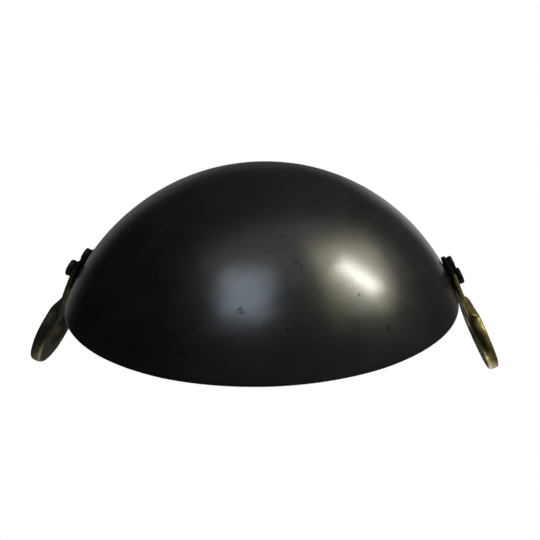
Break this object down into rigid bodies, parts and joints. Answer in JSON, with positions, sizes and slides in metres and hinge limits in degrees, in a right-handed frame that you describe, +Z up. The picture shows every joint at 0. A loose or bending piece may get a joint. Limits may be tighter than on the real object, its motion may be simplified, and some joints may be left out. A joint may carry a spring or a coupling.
{
  "type": "iron wok",
  "caption": "Round-bottomed iron wok, a dished sheet bowl with a plain rim and fixed brass ring handles riveted outside the wall, for frying and stewing over a flame.",
  "frame": {"origin": "on the floor under the middle of the bowl, at the small flat it stands on", "axes": "+Z up through the mouth along the bowl's axis, X through the two handles, Y from front to back"},
  "size_m": [0.382, 0.2994, 0.1644],
  "materials": {
    "iron": "smooth blackened iron sheet with faint turned lines and a soft satin sheen",
    "brass": "plain cast brass, satin and slightly dulled",
    "rivet_iron": "matt black iron"
  },
  "bodies": {
    "root": {"bowl": "iron", "left_handle": "brass", "right_handle": "brass", "left_rivet_front": "rivet_iron", "left_rivet_back": "rivet_iron", "right_rivet_front": "rivet_iron", "right_rivet_back": "rivet_iron"}
  },
  "joints": []
}
